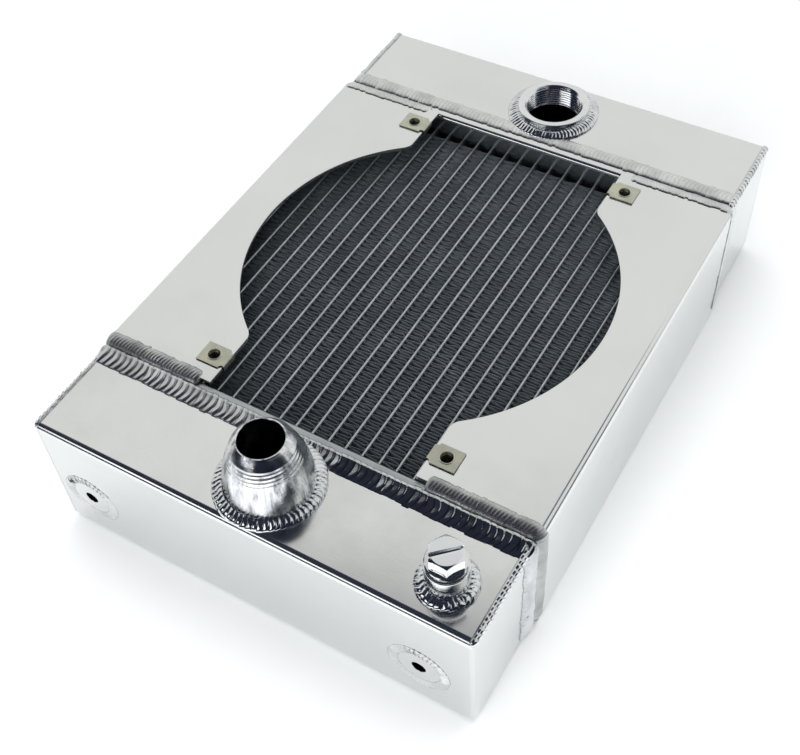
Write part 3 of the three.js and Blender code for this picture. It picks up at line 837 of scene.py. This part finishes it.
def clip_nut(name, side, end):
    """A zinc-plated spring clip over the neck's edge, with its threaded barrel underneath."""
    low, high = nut_low, nut_high
    sheet, clearance, flatness = 0.8, 0.6, 0.45
    barrel, barrel_bore = 4.4, 3.9
    edge, barrel_bottom = low[0], low[2]
    top, bottom = high[2], high[2] - 2 * sheet - SHROUD_SHEET - clearance
    fold = (top - bottom) / 2
    fold_x, fold_z = edge + fold * flatness, (top + bottom) / 2
    half_turn = arc((0, 0), 1.0, QUARTER, 3 * QUARTER, 10)
    profile = [(fold_x + a * flatness * fold, fold_z + b * fold) for a, b in half_turn]
    profile += [(high[0], bottom), (high[0], bottom + sheet)]
    inside = fold - sheet
    profile += [(fold_x + a * flatness * inside, fold_z + b * inside)
                for a, b in reversed(half_turn)]
    profile += [(high[0], top - sheet), (high[0], top)]
    clip = prism(name, profile, "y", low[1], high[1])
    for y in (low[1], high[1]):
        notch = hole_through(2.1, (edge + 1.2, y), bottom - 3, top + 3, steps=24)
        combine(clip, notch, "DIFFERENCE")
    place = (NUT_X, NUT_Y)
    combine(clip, hole_through(barrel, place, barrel_bottom, bottom + 0.4), "UNION")
    combine(clip, hole_through(barrel_bore, place, barrel_bottom - 5, top + 5), "DIFFERENCE")
    bevel_small(clip, 0.16)
    deep = top - barrel_bottom
    collar = [(3.8, 0), (3.8, deep - 0.1), (4.3, deep - 0.1), (4.3, deep + 0.12)]
    collar += [(4.0, deep + 0.25), (3.6, deep + 0.2)]
    collar += [(3.25, h) for h in steps_between(deep - 0.5, 0, 0.2)]
    # The sleeve's bore gets painted shade below its collar.
    sleeve = lathe("sleeve", collar, (NUT_X, NUT_Y, barrel_bottom), 48,
                   thread=(0, deep - 0.4, 1.0, 0.35, -1),
                   dark=lambda r, h: 0.75 * float(r < 3.4 and h < deep - 2.2))
    smooth(join(clip, sleeve), 30, flat_area=3.0)
    turn = Matrix.Diagonal((side, end, 1, 1))
    clip.data.transform(turn)
    if side * end < 0:
        clip.data.flip_normals()
    return clip


def build_shroud():
    for side_name, side in SIDES:
        channel = shroud(f"{side_name}_shroud_channel", side)
        piece(channel, "polished_aluminium", [f"{side_name}_shroud"])
        for end_name, end in ENDS:
            name = f"{end_name}_{side_name}_u_nut"
            nut = clip_nut(name, side, end)
            piece(nut, "zinc_plated_steel", [f"{end_name}_{side_name}_clip_nut"])


# ---- fittings ----------------------------------------------------------------------------

def outlet_fitting():
    """Male flare fitting: 37 degree nose, then a thread on a body that swells down to the weld."""
    base = (outlet_high[0] - outlet_low[0]) / 2
    height = outlet_high[2] - outlet_low[2] + 0.8
    nose_radius, bore = 17.2, 12.2
    nose = height - 5.2
    thread_length = 9
    swell = 2.3
    levels = steps_between(0, nose - thread_length, 1.2)[:-1]
    levels += steps_between(nose - thread_length, nose - 0.5, THREAD_STEP)
    body = [(base - (base - nose_radius + 0.4) * (h / nose) ** swell, h) for h in levels]
    outside = [(bore + 0.3, 0), *body, (nose_radius, nose - 0.25), (nose_radius, nose)]
    outside += [(bore + 1.05, height - 0.15), (bore + 0.85, height)]
    inside = [(bore + 0.25, height), (bore, height - 0.3), (bore, 0.3)]
    # The bore gets painted shade, all but its mouth.
    fitting = lathe("flare_fitting", outside + inside, (OUTLET[0] + 0.8, OUTLET[1], SEAT),
                    FINE_SEGMENTS, thread=(nose - thread_length, nose - 0.6, 2.117, 0.13, 1),
                    dark=lambda r, h: float(r < bore + 0.2 and h < height - 1))
    return smooth(fitting, 33)


def inlet_bung():
    """Female threaded ring with a deep smooth mouth above the thread."""
    rim = (inlet_high[0] - inlet_low[0]) / 2
    top = inlet_high[2] - SEAT
    foot = inlet_low[2] - SEAT
    spigot, mouth, bore = 19.2, 18.9, 17.6
    edge = 0.7
    outside = [(bore + 0.4, foot), (spigot, foot), (spigot, 0), (rim, 0), (rim, top - edge)]
    outside += arc((rim - edge, top - edge), edge, 0, QUARTER, 4)[1:]
    inside = [(mouth + 0.3, top), (mouth, top - 0.25), (bore + 0.3, top - 1.6), (bore, top - 1.9)]
    inside += [(bore, h) for h in steps_between(top - 2.1, foot + 0.4, THREAD_STEP)]
    ring = lathe("threaded_inlet_ring", outside + inside, (INLET[0], INLET[1], SEAT),
                 FINE_SEGMENTS, thread=(foot + 0.3, top - 2.0, 1.8, 0.7, -1))
    return smooth(ring, 33)


def drain_boss():
    """The threaded boss that the drain plug screws into."""
    radius = (bung_high[0] - bung_low[0]) / 2
    top = bung_high[2] - SEAT
    foot = bung_low[2] - SEAT
    bore, spigot, chamfer = 7.0, 10, 0.6
    outside = [(bore, foot), (spigot, foot), (spigot, 0), (radius, 0), (radius, top - chamfer)]
    outside += arc((radius - chamfer, top - chamfer), chamfer, 0, QUARTER, 3)[1:]
    inside = [(bore + chamfer, top), (bore, top - chamfer)]
    boss = lathe("drain_boss", outside + inside, (DRAIN[0], DRAIN[1], SEAT))
    return smooth(boss, 33)


def drain_seal():
    """A sealing ring with a round edge, carried by the plug."""
    radius = (seal_high[0] - seal_low[0]) / 2 - 0.5
    middle, half = (seal_high[2] + seal_low[2]) / 2, (seal_high[2] - seal_low[2]) / 2
    profile = arc((radius - half, 0), half, -QUARTER, QUARTER, 10)
    profile += [(7.1, half), (7.1, -half)]
    return smooth(lathe("plug_seal_ring", profile, (DRAIN[0], DRAIN[1], middle)), 40)


def drain_plug():
    """Slotted hexagon plug: chamfered head, thin flange and threaded shank."""
    flange_radius = (plug_high[0] - plug_low[0]) / 2
    flange_low = seal_high[2] + 0.3
    flange_high = flange_low + 2.0
    top = plug_high[2]
    shank = 6.7
    profile = [(0.01, plug_low[2]), (shank - 1.0, plug_low[2]), (shank, plug_low[2] + 1.0)]
    profile += [(shank, z) for z in steps_between(plug_low[2] + 1.1, flange_low - 1.2, 0.15)]
    profile += [(shank - 0.8, flange_low - 0.8), (shank - 0.8, flange_low)]
    profile += [(flange_radius - 0.4, flange_low), (flange_radius, flange_low + 0.4)]
    profile += [(flange_radius, flange_high - 0.5), (flange_radius - 0.5, flange_high)]
    profile += [(0.01, flange_high)]
    plug = lathe("hex_drain_plug", profile, (DRAIN[0], DRAIN[1], 0),
                 thread=(plug_low[2] + 1.0, flange_low - 1.0, 1.5, 0.6, 1))
    combine(plug, hex_head(flange_high - 0.4, top), "UNION")
    slot_half, slot_depth, slot_angle = 1.0, 1.8, math.radians(44)
    outline = rounded_rectangle(15, slot_half, 0.2)
    slot = prism("cutter", outline, "z", top - slot_depth, top + 3)
    slot.data.transform(Matrix.Translation(Vector((DRAIN[0], DRAIN[1], 0)) * MM)
                        @ Matrix.Rotation(slot_angle, 4, "Z"))
    combine(plug, slot, "DIFFERENCE")
    bevel_small(plug, 0.14)
    return smooth(plug, 28)


def hex_head(low, top):
    """A hexagon whose top corners are turned off by a shallow chamfer."""
    flat = 8.5
    crown = flat - 0.6
    slope = math.tan(math.radians(28))
    low_ring, high_ring, crown_ring = [], [], []
    for i in range(LATHE_SEGMENTS):
        angle = TAU * i / LATHE_SEGMENTS
        radius = flat / math.cos(angle % (math.pi / 3) - math.pi / 6)
        a, b = math.cos(angle), math.sin(angle)
        x, y = DRAIN[0] + radius * a, DRAIN[1] + radius * b
        low_ring.append((x, y, low))
        high_ring.append((x, y, top - (radius - crown) * slope))
        crown_ring.append((DRAIN[0] + crown * a, DRAIN[1] + crown * b, top))
    return loft("cutter", [low_ring, high_ring, crown_ring])


def mount_insert(end_name, end, side_name):
    """The threaded insert whose face is flush with the tank's end face."""
    (x, z), radius, length = insert_place(end_name, side_name)
    radius -= 0.02
    bore, hole_deep, plain = 4.0, 15.0, 3.0
    profile = [(0.01, -length), (radius, -length), (radius, 0), (bore + 0.3, 0),
               (bore + 0.1, -0.2), (bore, -plain)]
    profile += [(bore, h) for h in steps_between(-plain - 0.2, -hole_deep, 0.25)]
    profile += [(0.01, -hole_deep - 1.5)]
    profile = [(r, end * h) for r, h in profile]
    first, last = sorted((end * (-plain - 0.1), end * -hole_deep))
    # The tapped hole gets painted shade, all but its face.
    insert = lathe(f"{end_name}_{side_name}_threaded_insert", profile, (x, end * HALF, z), 80, "y",
                   thread=(first, last, 1.25, 0.5, -1),
                   dark=lambda r, h: float(r < bore + 0.6 and abs(h) > 0.1))
    return smooth(insert, 33)


def build_fittings():
    piece(outlet_fitting(), "machined_aluminium", ["outlet_fitting"], material="streaked_aluminium")
    piece(inlet_bung(), "machined_aluminium", ["inlet_bung"])
    piece(drain_boss(), "machined_aluminium", ["drain_bung"])
    piece(drain_seal(), "seal_rubber", ["drain_seal"], body="drain_seal")
    piece(drain_plug(), "machined_aluminium", ["drain_plug"], body="drain_plug")
    for end_name, end in ENDS:
        for side_name, _ in SIDES:
            insert = mount_insert(end_name, end, side_name)
            piece(insert, "machined_aluminium", [f"{end_name}_{side_name}_mount_insert"],
                  material="polished_aluminium")


# ---- weld beads --------------------------------------------------------------------------

class Path:
    """A bead's route, from rows of a point, its outward normal and the direction across."""

    def __init__(self, rows, closed=False):
        self.rows = np.array(rows, float)
        self.closed = closed
        points = self.rows[:, 0]
        ahead = np.roll(points, -1, axis=0) if closed else points[1:]
        back = points if closed else points[:-1]
        lengths = np.linalg.norm(ahead - back, axis=1)
        self.places = np.concatenate([[0], np.cumsum(lengths)])
        self.length = self.places[-1]

    def at(self, place):
        """Point, normal and across direction at a distance along the route."""
        place = place % self.length if self.closed else min(max(place, 0), self.length)
        last = len(self.rows) - (1 if self.closed else 2)
        i = min(int(np.searchsorted(self.places, place, side="right")) - 1, last)
        j = (i + 1) % len(self.rows)
        t = (place - self.places[i]) / (self.places[i + 1] - self.places[i])
        point, normal, across = self.rows[i] * (1 - t) + self.rows[j] * t
        return point, normal / np.linalg.norm(normal), across / np.linalg.norm(across)


def domed(u):
    """A bead's section: its share of the full height at u, from -1 to 1 across it."""
    return max(1 - abs(u) ** 2.2, 0.0) ** 0.62


def sloped(u):
    """A section with its crown near one side, and a long slope down to the other."""
    if u < -0.7:
        return math.sqrt(max(1 - ((u + 0.7) / 0.3) ** 2, 0.0))
    return 0.12 * domed(u) + 0.88 * (1 - (u + 0.7) / 1.7)


# Places across a bead, from one edge at -1 to the other at 1, closer together near the edges.
ACROSS = (-1, -0.95, -0.86, -0.72, -0.54, -0.36, -0.18, 0, 0.18, 0.36, 0.54, 0.72, 0.86, 0.95, 1)


# A bead's hidden foot: how deep it goes into the metal and its share of the bead's width.
BEAD_SINK = 0.9
FOOT_SHARE = 0.9


def bead(name, path, width, height, pitch, ripple, seed, skew=0.55, lean=0.0, section=domed,
         samples=9, fade=3.0, rope=False):
    """Sweeps a weld bead along a path, with overlapping crescent ripples.

    ripple is the height of the ripples, either a number or a function of the point. skew bends
    each ripple into a crescent and lean slants it. rope makes the ripples round instead of
    overlapping. An open bead's ends are rounded over fade.
    """
    rng = random.Random(seed)
    count = int(path.length / pitch * samples)
    total = int(path.length / pitch) + 3
    # How much each ripple widens, rises and strays, and where the slow wander starts.
    bulge = [rng.gauss(0, 0.045) for _ in range(total)]
    lift = [rng.uniform(0.6, 1.3) for _ in range(total)]
    stray = [rng.gauss(0, 0.10) for _ in range(total + 1)]
    drift = rng.uniform(0, TAU)
    whole = round(path.length / pitch) if path.closed else None
    step_length = path.length / whole if whole else pitch
    rings, groove = [], []
    for s in range(count if path.closed else count + 1):
        place = path.length * s / count
        centre, normal, across = path.at(place)
        amount = ripple(centre) if callable(ripple) else ripple
        end_scale = 1.0
        if not path.closed:
            edge = min(place, path.length - place) / fade
            end_scale = math.sqrt(max(1 - (1 - min(edge, 1.0)) ** 2, 0.003))
        wander = 0.16 * math.sin(place / 9.0 + drift) + 0.10 * math.sin(place / 3.7 + 2 * drift)
        ring = []
        for u in ACROSS:
            phase = place / step_length + skew * u * u + lean * u
            phase += stray[int(place / step_length) % total] * math.sin(2.6 * u + drift)
            index = int(math.floor(phase)) % (whole or total)
            saw = phase - math.floor(phase)
            crest = math.sin(math.pi * saw) ** 0.7 if rope else (1 - saw) * min(1.0, saw / 0.18)
            edge_share = max(1 - u * u, 0.0)
            lump = amount * lift[index % total] * crest * edge_share ** 0.45
            reach = width / 2 * (1 + bulge[index % total] * abs(u))
            rise = height * section(u) + lump
            ring.append(centre + across * (u * reach * end_scale + wander * abs(u) * 0.5)
                        + normal * (rise * end_scale))
            # The groove values paint shade into the valleys between ripples, darken the toes, and
            # make the sunk feet fully dark.
            valley = max(0.0, 1 - min(saw, 1 - saw) / 0.14) * min(1.0, amount / 0.5)
            toe = max(0.0, (abs(u) - 0.90) / 0.10) * 0.8
            groove.append(max(valley * edge_share ** 0.5, toe))
        for edge_side in (1, -1):
            foot = edge_side * FOOT_SHARE * width / 2 * end_scale
            ring.append(centre + across * foot - normal * BEAD_SINK)
            groove.append(1.0)
        rings.append([tuple(p) for p in ring])
    return smooth(loft(name, rings, closed=path.closed, groove=groove), 55)


def ring_path(centre, wall_radius, foot, rise, z, steps=90):
    """Round a fitting: from its foot on the sheet up to the wall."""
    slant = math.hypot(foot, rise)
    middle = np.array([centre[0], centre[1], z + rise / 2])
    up = np.array([0.0, 0.0, 1.0])
    rows = []
    for i in range(steps):
        angle = TAU * i / steps
        out = np.array([math.cos(angle), math.sin(angle), 0.0])
        rows.append([middle + out * (wall_radius + foot / 2),
                     out * rise / slant + up * (foot / slant),
                     up * (rise / slant) - out * foot / slant])
    return Path(rows, closed=True), slant


def in_xz(angle):
    """The direction at an angle from +X towards +Z."""
    return np.array([math.cos(angle), 0.0, math.sin(angle)])


def flat_ring_path(centre, radius, end, steps=80):
    """A circle on a tank's end face."""
    outs = [in_xz(TAU * i / steps) for i in range(steps)]
    facing = np.array([0.0, end, 0.0])
    return Path([[centre + out * radius, facing, out] for out in outs], closed=True)


def loop_path(y, end):
    """Right round a tank, on its skin, at one place along Y."""
    corner = LOOP_CORNER
    dx, dz = HALF_WIDTH - corner, TANK_HALF - corner
    across = np.array([0.0, end, 0.0])
    rows = []
    for cx, cz, turn in ((dx, dz, 0), (-dx, dz, 1), (-dx, -dz, 2), (dx, -dz, 3)):
        for i in range(9):
            out = in_xz((turn + i / 8) * QUARTER)
            rows.append([np.array([cx, y, MIDDLE_Z + cz]) + out * corner, out, across])
    return Path(rows, closed=True)


def shroud_end_path(side, end):
    """Along a shroud's end: over the top from the neck, round the corner and down the side."""
    low_edge = np.array([SHROUD_END + 4.9, TANK_TOP])
    high_edge = np.array([SHROUD_END - 4.6, SHROUD_TOP])
    width = np.linalg.norm(low_edge - high_edge)
    slant = (low_edge - high_edge) / width
    middle = (low_edge + high_edge) / 2
    offset = middle[1] - TANK_TOP
    corner = LOOP_CORNER
    route = [(NECK + 6.5, TANK_TOP, 0.0)]
    for i in range(9):
        angle = QUARTER * (1 - i / 8)
        route.append((HALF_WIDTH - corner + corner * math.cos(angle),
                      TANK_TOP - corner + corner * math.sin(angle), QUARTER - angle))
    route.append((HALF_WIDTH, 7.0, QUARTER))
    along = np.array([0.0, 1.0, 0.0])
    flip = np.array([side, end, 1.0])
    rows = []
    for x, z, turn in route:
        out = np.array([math.sin(turn), 0.0, math.cos(turn)])
        rows.append([(np.array([x, middle[0], z]) + out * offset) * flip,
                     (out * slant[0] - along * slant[1]) * flip,
                     (along * slant[0] + out * slant[1]) * flip])
    return Path(rows), width


def tank_edge_path(side, end):
    """Along a side's top edge of a tank and round its outer corner."""
    corner = TANK_BEND - 0.6
    out_y = HALF - TANK_BEND
    inset = 0.9
    route = [(SHROUD_END + 4.0, TANK_TOP - inset + 0.4, 0.0), (SEAM_Y + 7, TANK_TOP - inset, 0.0)]
    for i in range(7):
        turn = QUARTER * i / 8
        route.append((out_y + corner * math.sin(turn),
                      TANK_TOP - inset - corner + corner * math.cos(turn), turn))
    sideways = np.array([side, 0.0, 0.0])
    rows = []
    for y, z, turn in route:
        out = np.array([0.0, end * math.sin(turn), math.cos(turn)])
        rows.append([np.array([side * (HALF_WIDTH - inset), end * y, z]),
                     (out + sideways) / math.sqrt(2), (sideways - out) / math.sqrt(2)])
    return Path(rows)


def seam_ripple(point):
    """Ripple height: deep to the left of the outlet and down the sides, shallow to its right."""
    if abs(point[0]) > HALF_WIDTH - LOOP_CORNER:
        return 0.85
    return 0.95 if point[0] < 8 else 0.55


def insert_ripple(point):
    """An insert's ring is ground flat, except for a stretch along its top, towards the side."""
    lowest = MIDDLE_Z - (2 if point[0] < 0 else 12)
    return 0.9 if point[2] > lowest and abs(point[0]) > 97 else 0.12


def build_beads():
    slot = "weld_bead"
    near = bead("near_tank_seam_weld", loop_path(-SEAM_Y, -1), 12.6, 2.4, 4.0, seam_ripple, 11,
                skew=-0.75, samples=12, section=sloped)
    piece(near, slot, ["near_seam_bead"], material="seam_weld")
    far = bead("far_tank_seam_weld", loop_path(SEAM_Y, 1), 11.0, 1.0, 2.6, 0.16, 12)
    piece(far, slot, ["far_seam_bead"], material="dressed_weld")
    for end_name, end in ENDS:
        for side_name, side in SIDES:
            path, width = shroud_end_path(side, end)
            dressed = end > 0
            weld = bead(f"{end_name}_{side_name}_shroud_weld", path, width,
                        1.6 if dressed else 2.0, 2.1, 0.12 if dressed else 0.26,
                        f"{end_name}{side_name}", skew=0.3, lean=0.7 * side)
            piece(weld, slot, [f"{end_name}_{side_name}_shroud_bead"],
                  material="dressed_weld" if dressed else "brushed_weld")
        for side_name, side in SIDES:
            name = f"{end_name}_{side_name}_tank_edge_weld"
            edge = bead(name, tank_edge_path(side, end), 4.4, 1.1, 3.2, 0.6, name,
                        skew=0.4 * side, lean=0.3)
            piece(edge, slot, material="bright_weld")
    for name, node, centre, wall, foot, rise, pitch, ripple in (
            ("outlet_weld", "outlet_bead", OUTLET, 24.3, 6.3, 4.2, 2.9, 0.50),
            ("inlet_weld", "inlet_bead", INLET, 23.0, 6.8, 3.2, 2.3, 0.38),
            ("drain_weld", "drain_bead", DRAIN, 11.2, 5.6, 3.6, 3.4, 0.42)):
        path, width = ring_path(centre, wall, foot, rise, TANK_TOP)
        ring = bead(name, path, width, 1.1, pitch, ripple, name, skew=0.4, rope=True, samples=12)
        piece(ring, slot, [node], material="bright_weld")
    for end_name, end in ENDS:
        for side_name, _ in SIDES:
            (x, z), _, _ = insert_place(end_name, side_name)
            path = flat_ring_path((x, end * HALF, z), 15.4, end)
            name = f"{end_name}_{side_name}_insert_weld"
            ring = bead(name, path, 6.2, 0.16, 2.6, insert_ripple, name)
            piece(ring, slot, material="dressed_weld")


# ---- the room ----------------------------------------------------------------------------

CAMERA_PLACE = Vector((0.2580, -0.4206, 0.6080))
CAMERA_AIM = Vector((0.01045, -0.05477, 0.0600))
CAMERA_ROLL = math.radians(4.75)
CAMERA_LENS = 54.38
CAMERA_SENSOR = 36.0


def make_camera():
    """Looks down on the outlet tank's right-hand corner."""
    data = bpy.data.cameras.new("camera")
    data.lens = CAMERA_LENS
    data.sensor_width = CAMERA_SENSOR
    data.clip_start = 0.01
    camera = bpy.data.objects.new("camera", data)
    bpy.context.scene.collection.objects.link(camera)
    look = (CAMERA_AIM - CAMERA_PLACE).to_track_quat("-Z", "Y").to_matrix().to_4x4()
    roll = Matrix.Rotation(-CAMERA_ROLL, 4, "Z")
    camera.matrix_world = Matrix.Translation(CAMERA_PLACE) @ look @ roll
    bpy.context.scene.camera = camera


def make_floor():
    """A wide white floor, just under the radiator."""
    reach = 6000
    corners = [(-reach, -reach, 0), (reach, -reach, 0), (reach, reach, 0), (-reach, reach, 0)]
    floor = new_object("floor", corners, [[0, 1, 2, 3]])
    n = Surface("floor")
    grain = n.noise(40, detail=2)
    colour = n.ramp(grain, [(0.3, (0.885, 0.897, 0.905)), (0.7, (0.893, 0.905, 0.912))])
    floor.data.materials.append(n.finish(colour, 0.9, metallic=0.0))
    floor.location.z = -0.0002


# The sky's own colour, then its patches: each one's direction, radius and softness in degrees,
# and colour.
SKY_BASE = (0.80, 0.81, 0.80)
SKY_PATCHES = (
    ((-0.05, -0.30, 0.95), 37, 9, (0.026, 0.031, 0.048)),
    ((0.25, -0.88, 0.38), 34, 5, (0.016, 0.021, 0.036)),
    ((-0.62, -0.75, 0.26), 34, 6, (0.016, 0.021, 0.036)),
    ((0.93, -0.28, 0.22), 28, 6, (0.016, 0.021, 0.036)),
    ((0.36, 0.50, 0.79), 7, 3, (0.10, 0.12, 0.15)),
    ((0.86, 0.48, 0.12), 8, 3, (0.12, 0.14, 0.18)),
    ((-0.48, -0.73, 0.46), 7, 3, (1.5, 1.52, 1.55)),
    ((-0.30, -0.80, 0.46), 7, 3, (1.5, 1.52, 1.55)),
    ((-0.12, -0.84, 0.46), 7, 3, (1.5, 1.52, 1.55)),
)


def make_world():
    """A white tent with dark openings and bright boxes, which the polished metal reflects."""
    world = bpy.data.worlds.new("studio")
    bpy.context.scene.world = world
    world.use_nodes = True
    n = Nodes(world.node_tree, "Generated")
    output = n.add("ShaderNodeOutputWorld")
    background = n.add("ShaderNodeBackground")
    n.link(background.outputs["Background"], output.inputs["Surface"])
    colour = SKY_BASE
    for towards, radius, softness, tint in SKY_PATCHES:
        dot = n.add("ShaderNodeVectorMath", operation="DOT_PRODUCT")
        n.link(n.place, dot.inputs[0])
        dot.inputs[1].default_value = Vector(towards).normalized()
        outer, inner = math.radians(radius + softness), math.radians(radius)
        share = n.remap(dot.outputs["Value"], math.cos(outer), math.cos(inner), 0.0, 1.0,
                        interpolation_type="SMOOTHSTEP")
        colour = n.blend(share, colour, tint)
    n.link(colour, background.inputs["Color"])
    background.inputs["Strength"].default_value = 1.0


def make_lights():
    """Soft panels that brighten the floor and the rough metal without showing in the mirrors."""
    for name, place, size, power in (
            ("top_panel", (0.0, 0.1, 1.8), 2.2, 31),
            ("left_panel", (-1.3, 0.5, 1.1), 1.0, 1),
            ("front_panel", (0.30, -1.1, 0.7), 0.8, 12)):
        data = bpy.data.lights.new(name, "AREA")
        data.shape = "SQUARE"
        data.size = size
        data.energy = power
        light = bpy.data.objects.new(name, data)
        bpy.context.scene.collection.objects.link(light)
        light.location = place
        light.rotation_mode = "QUATERNION"
        light.rotation_quaternion = (-Vector(place)).to_track_quat("-Z", "Y")
        light.visible_glossy = False


def make_room():
    make_camera()
    make_floor()
    make_world()
    make_lights()
    view = bpy.context.scene.view_settings
    view.view_transform = "Standard"
    view.look = "None"


make_room()
build_tanks()
build_headers()
build_core()
build_shroud()
build_fittings()
build_beads()
